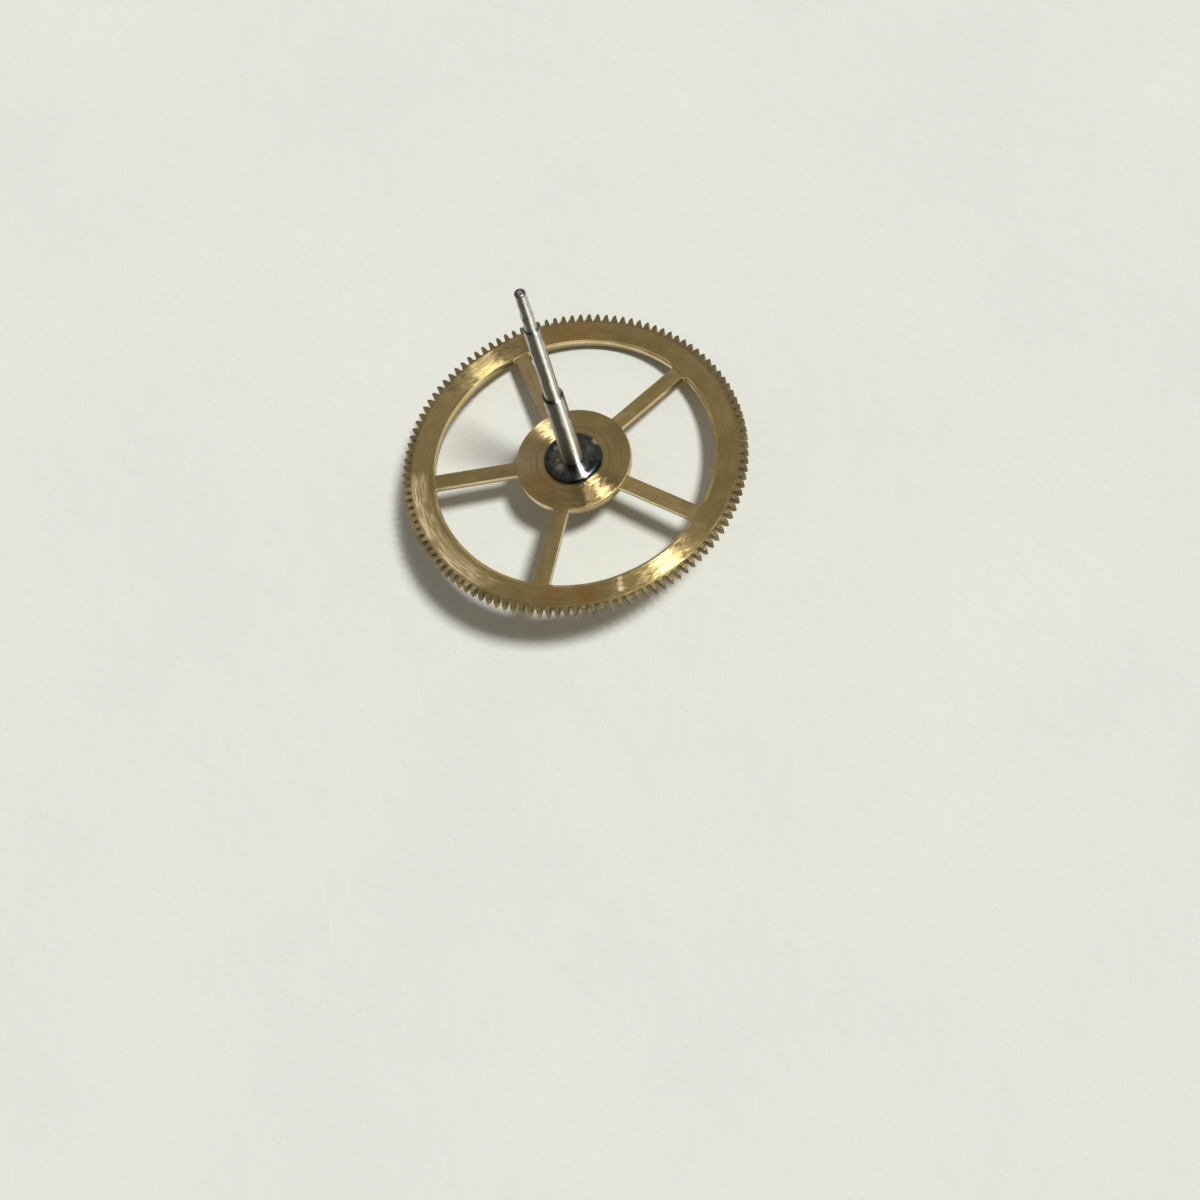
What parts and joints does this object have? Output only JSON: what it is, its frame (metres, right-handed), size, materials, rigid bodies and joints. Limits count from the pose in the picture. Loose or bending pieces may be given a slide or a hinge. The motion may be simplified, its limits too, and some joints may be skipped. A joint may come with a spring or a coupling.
{
  "type": "sweep second wheel",
  "caption": "Watch wheel with a toothed brass rim on straight arms, riveted to a steel pinion on a long stepped steel staff that carries the sweep second hand.",
  "frame": {"origin": "on the staff's axis at the end of the lower pivot, which is the bottom centre of the part's box", "axes": "+Z along the staff, from the lower pivot to the hand seat; +X along one arm of the wheel"},
  "size_m": [0.0098, 0.0098, 0.0096],
  "materials": {
    "wheel_brass": "turned, lightly tarnished",
    "pinion_steel": "hardened and polished",
    "staff_steel": "polished"
  },
  "bodies": {
    "root": {"second_wheel": "wheel_brass", "pinion": "pinion_steel", "staff": "staff_steel"}
  },
  "joints": []
}
